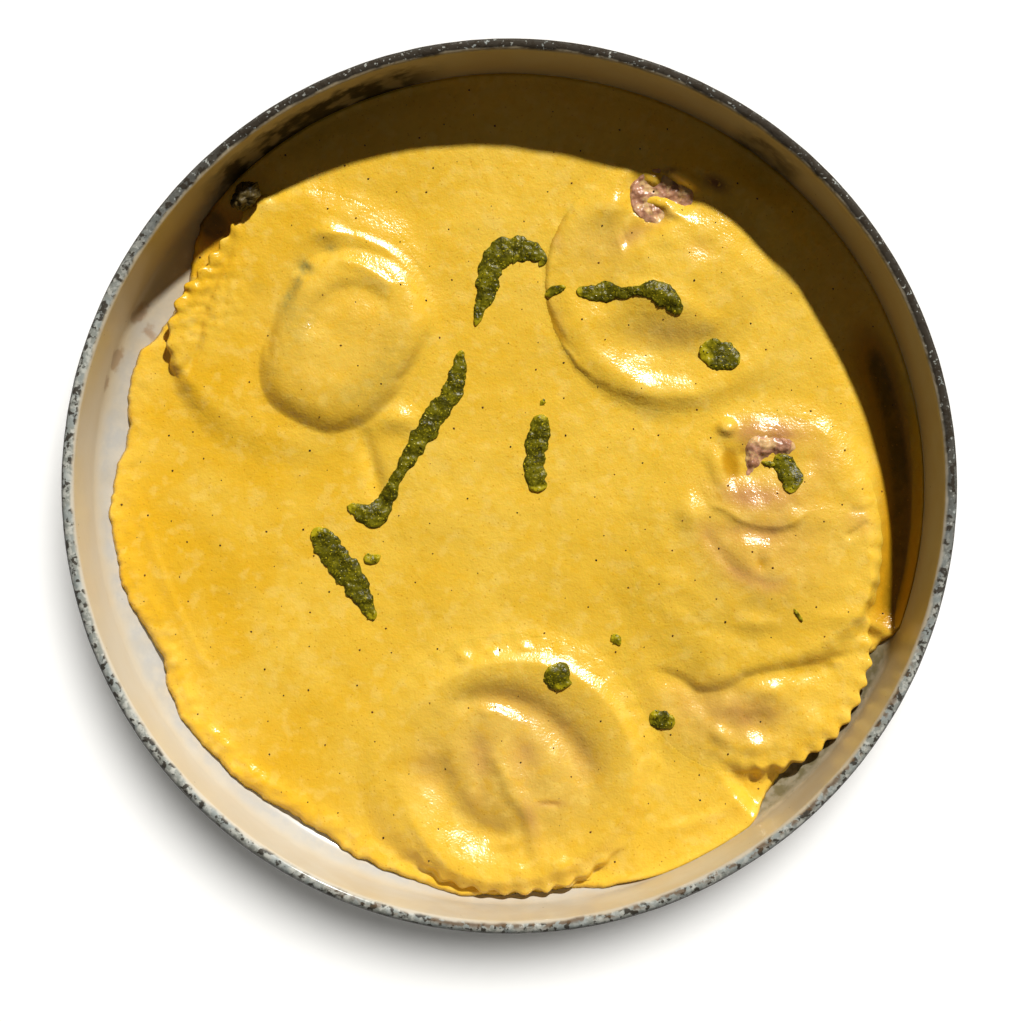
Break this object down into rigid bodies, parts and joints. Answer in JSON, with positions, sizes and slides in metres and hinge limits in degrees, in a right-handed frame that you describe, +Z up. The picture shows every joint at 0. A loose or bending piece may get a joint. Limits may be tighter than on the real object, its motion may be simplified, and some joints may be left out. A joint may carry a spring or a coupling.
{
  "type": "dish of ravioli",
  "caption": "Round fluted ravioli under a smooth yellow sauce with streaks of green herb oil, in a low round stoneware bowl with a straight wall and a narrow rim.",
  "frame": {"origin": "centre of the bowl's foot, on the surface it stands on", "axes": "+Z up out of the bowl; +X to the right and +Y to the back as the dish is seen, so that the stacked ravioli are on the +X side and the front one is on the -Y side"},
  "size_m": [0.22, 0.22, 0.035],
  "materials": {
    "cream_glaze": "satin cream glaze inside, speckled grey glaze on the rim and outside",
    "yellow_sauce": "smooth wet sauce",
    "coated_pasta": "cooked pasta coated with sauce",
    "pink_filling": "minced filling, moist and crumbly",
    "herb_oil": "dark green oil with chopped herbs, wet"
  },
  "bodies": {
    "root": {"bowl": "cream_glaze", "sauce": "yellow_sauce", "ravioli_upper_left": "coated_pasta", "ravioli_upper_right": "coated_pasta", "ravioli_right": "coated_pasta", "ravioli_lower_right": "coated_pasta", "ravioli_front": "coated_pasta", "filling_upper_right": "pink_filling", "filling_right": "pink_filling", "herb_oil_arch": "herb_oil", "herb_oil_long": "herb_oil", "herb_oil_left": "herb_oil", "herb_oil_middle": "herb_oil", "herb_oil_on_upper_right": "herb_oil", "herb_oil_drop": "herb_oil", "herb_oil_front": "herb_oil", "herb_oil_in_hollow": "herb_oil", "herb_oil_on_lower_right": "herb_oil"}
  },
  "joints": []
}
